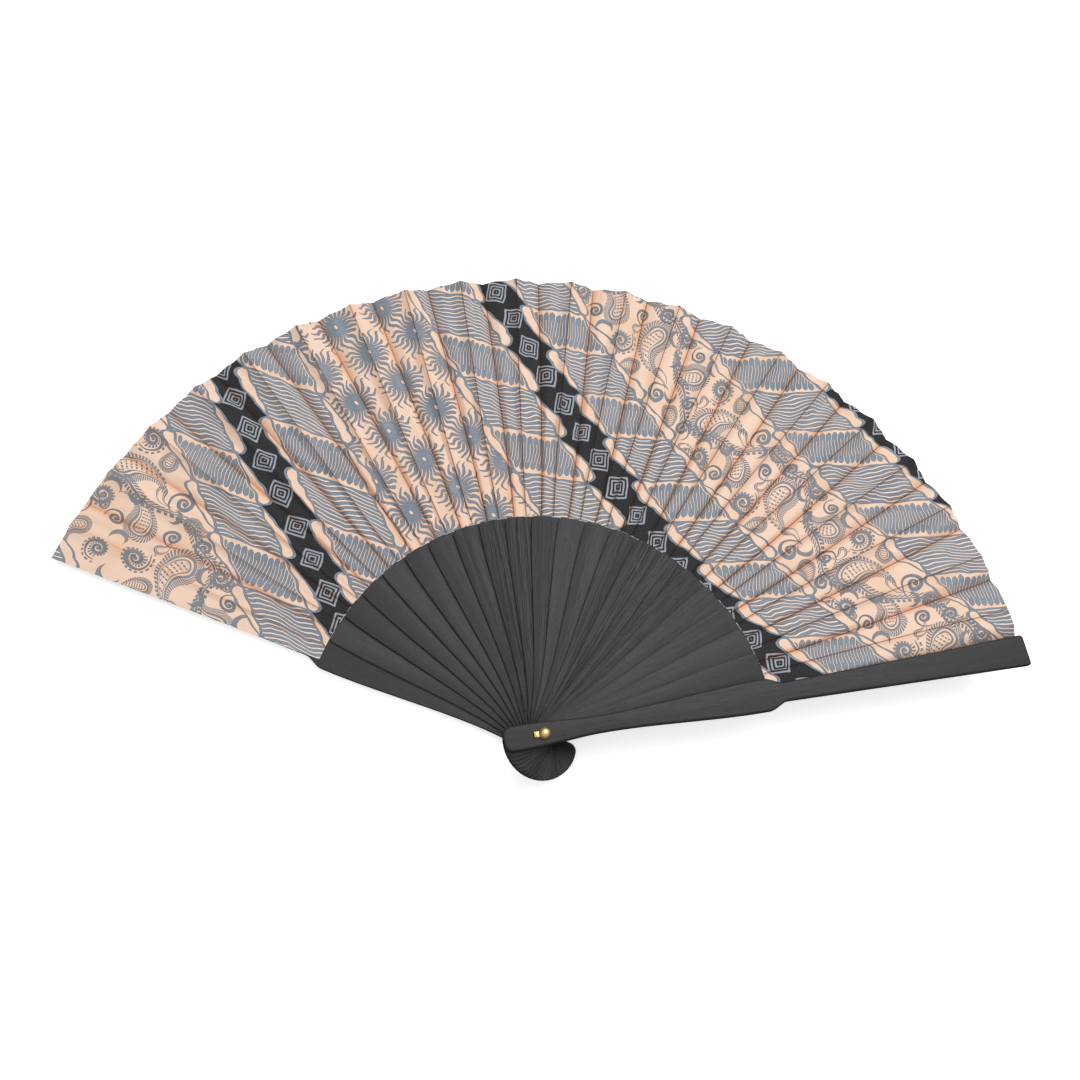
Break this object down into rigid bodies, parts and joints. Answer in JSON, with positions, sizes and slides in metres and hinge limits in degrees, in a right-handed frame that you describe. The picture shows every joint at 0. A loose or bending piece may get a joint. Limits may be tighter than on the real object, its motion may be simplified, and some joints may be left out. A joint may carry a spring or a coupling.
{
  "type": "folding hand fan",
  "caption": "Folding hand fan: flat black wooden sticks turning on one brass rivet, two thicker guards, and a pleated printed cloth leaf that spreads and folds with them.",
  "frame": {"origin": "centre of the rivet tail's flat end, on the axis that every stick turns about", "axes": "+Z along the rivet from the back guard to the front guard, +Y along the middle of the open leaf, +X towards the front guard's side; the fan lies open and flat"},
  "size_m": [0.4108, 0.2286, 0.0289],
  "materials": {
    "guard_wood": "black paint, satin, grain showing",
    "rib_wood": "black stain, satin, open grain",
    "leaf_cloth": "printed cotton, peach with blue-grey and black",
    "brass": "polished"
  },
  "bodies": {
    "back_guard": {"back_guard": "guard_wood", "pleat_00": "leaf_cloth", "rivet_pin": "brass", "tab_washer": "brass", "tail_washer": "brass"},
    "rib_01": {"rib_01": "rib_wood", "pleat_01": "leaf_cloth"},
    "rib_02": {"rib_02": "rib_wood", "pleat_02": "leaf_cloth"},
    "rib_03": {"rib_03": "rib_wood", "pleat_03": "leaf_cloth"},
    "rib_04": {"rib_04": "rib_wood", "pleat_04": "leaf_cloth"},
    "rib_05": {"rib_05": "rib_wood", "pleat_05": "leaf_cloth"},
    "rib_06": {"rib_06": "rib_wood", "pleat_06": "leaf_cloth"},
    "rib_07": {"rib_07": "rib_wood", "pleat_07": "leaf_cloth"},
    "rib_08": {"rib_08": "rib_wood", "pleat_08": "leaf_cloth"},
    "rib_09": {"rib_09": "rib_wood", "pleat_09": "leaf_cloth"},
    "rib_10": {"rib_10": "rib_wood", "pleat_10": "leaf_cloth"},
    "rib_11": {"rib_11": "rib_wood", "pleat_11": "leaf_cloth"},
    "rib_12": {"rib_12": "rib_wood", "pleat_12": "leaf_cloth"},
    "rib_13": {"rib_13": "rib_wood", "pleat_13": "leaf_cloth"},
    "rib_14": {"rib_14": "rib_wood", "pleat_14": "leaf_cloth"},
    "rib_15": {"rib_15": "rib_wood", "pleat_15": "leaf_cloth"},
    "rib_16": {"rib_16": "rib_wood", "pleat_16": "leaf_cloth"},
    "rib_17": {"rib_17": "rib_wood", "pleat_17": "leaf_cloth"},
    "rib_18": {"rib_18": "rib_wood", "pleat_18": "leaf_cloth"},
    "rib_19": {"rib_19": "rib_wood", "pleat_19": "leaf_cloth"},
    "rib_20": {"rib_20": "rib_wood", "pleat_20": "leaf_cloth"},
    "front_guard": {"front_guard": "guard_wood", "pleat_21": "leaf_cloth"}
  },
  "joints": [
    {"name": "fold_01", "type": "hinge", "parent": "back_guard", "child": "rib_01", "pos_m": [0, 0, 0], "axis": [0, 0, 1], "range_deg": [0, 7.02]},
    {"name": "fold_02", "type": "hinge", "parent": "rib_01", "child": "rib_02", "pos_m": [0, 0, 0], "axis": [0, 0, 1], "range_deg": [0, 7.02]},
    {"name": "fold_03", "type": "hinge", "parent": "rib_02", "child": "rib_03", "pos_m": [0, 0, 0], "axis": [0, 0, 1], "range_deg": [0, 7.02]},
    {"name": "fold_04", "type": "hinge", "parent": "rib_03", "child": "rib_04", "pos_m": [0, 0, 0], "axis": [0, 0, 1], "range_deg": [0, 7.02]},
    {"name": "fold_05", "type": "hinge", "parent": "rib_04", "child": "rib_05", "pos_m": [0, 0, 0], "axis": [0, 0, 1], "range_deg": [0, 7.02]},
    {"name": "fold_06", "type": "hinge", "parent": "rib_05", "child": "rib_06", "pos_m": [0, 0, 0], "axis": [0, 0, 1], "range_deg": [0, 7.02]},
    {"name": "fold_07", "type": "hinge", "parent": "rib_06", "child": "rib_07", "pos_m": [0, 0, 0], "axis": [0, 0, 1], "range_deg": [0, 7.02]},
    {"name": "fold_08", "type": "hinge", "parent": "rib_07", "child": "rib_08", "pos_m": [0, 0, 0], "axis": [0, 0, 1], "range_deg": [0, 7.02]},
    {"name": "fold_09", "type": "hinge", "parent": "rib_08", "child": "rib_09", "pos_m": [0, 0, 0], "axis": [0, 0, 1], "range_deg": [0, 7.02]},
    {"name": "fold_10", "type": "hinge", "parent": "rib_09", "child": "rib_10", "pos_m": [0, 0, 0], "axis": [0, 0, 1], "range_deg": [0, 7.02]},
    {"name": "fold_11", "type": "hinge", "parent": "rib_10", "child": "rib_11", "pos_m": [0, 0, 0], "axis": [0, 0, 1], "range_deg": [0, 7.02]},
    {"name": "fold_12", "type": "hinge", "parent": "rib_11", "child": "rib_12", "pos_m": [0, 0, 0], "axis": [0, 0, 1], "range_deg": [0, 7.02]},
    {"name": "fold_13", "type": "hinge", "parent": "rib_12", "child": "rib_13", "pos_m": [0, 0, 0], "axis": [0, 0, 1], "range_deg": [0, 7.02]},
    {"name": "fold_14", "type": "hinge", "parent": "rib_13", "child": "rib_14", "pos_m": [0, 0, 0], "axis": [0, 0, 1], "range_deg": [0, 7.02]},
    {"name": "fold_15", "type": "hinge", "parent": "rib_14", "child": "rib_15", "pos_m": [0, 0, 0], "axis": [0, 0, 1], "range_deg": [0, 7.02]},
    {"name": "fold_16", "type": "hinge", "parent": "rib_15", "child": "rib_16", "pos_m": [0, 0, 0], "axis": [0, 0, 1], "range_deg": [0, 7.02]},
    {"name": "fold_17", "type": "hinge", "parent": "rib_16", "child": "rib_17", "pos_m": [0, 0, 0], "axis": [0, 0, 1], "range_deg": [0, 7.02]},
    {"name": "fold_18", "type": "hinge", "parent": "rib_17", "child": "rib_18", "pos_m": [0, 0, 0], "axis": [0, 0, 1], "range_deg": [0, 7.02]},
    {"name": "fold_19", "type": "hinge", "parent": "rib_18", "child": "rib_19", "pos_m": [0, 0, 0], "axis": [0, 0, 1], "range_deg": [0, 7.02]},
    {"name": "fold_20", "type": "hinge", "parent": "rib_19", "child": "rib_20", "pos_m": [0, 0, 0], "axis": [0, 0, 1], "range_deg": [0, 7.02]},
    {"name": "fold_21", "type": "hinge", "parent": "rib_20", "child": "front_guard", "pos_m": [0, 0, 0], "axis": [0, 0, 1], "range_deg": [0, 7.02]}
  ],
  "couplings": [
    {"joint": "fold_02", "follows": "fold_01", "ratio": 1},
    {"joint": "fold_03", "follows": "fold_01", "ratio": 1},
    {"joint": "fold_04", "follows": "fold_01", "ratio": 1},
    {"joint": "fold_05", "follows": "fold_01", "ratio": 1},
    {"joint": "fold_06", "follows": "fold_01", "ratio": 1},
    {"joint": "fold_07", "follows": "fold_01", "ratio": 1},
    {"joint": "fold_08", "follows": "fold_01", "ratio": 1},
    {"joint": "fold_09", "follows": "fold_01", "ratio": 1},
    {"joint": "fold_10", "follows": "fold_01", "ratio": 1},
    {"joint": "fold_11", "follows": "fold_01", "ratio": 1},
    {"joint": "fold_12", "follows": "fold_01", "ratio": 1},
    {"joint": "fold_13", "follows": "fold_01", "ratio": 1},
    {"joint": "fold_14", "follows": "fold_01", "ratio": 1},
    {"joint": "fold_15", "follows": "fold_01", "ratio": 1},
    {"joint": "fold_16", "follows": "fold_01", "ratio": 1},
    {"joint": "fold_17", "follows": "fold_01", "ratio": 1},
    {"joint": "fold_18", "follows": "fold_01", "ratio": 1},
    {"joint": "fold_19", "follows": "fold_01", "ratio": 1},
    {"joint": "fold_20", "follows": "fold_01", "ratio": 1},
    {"joint": "fold_21", "follows": "fold_01", "ratio": 1}
  ]
}
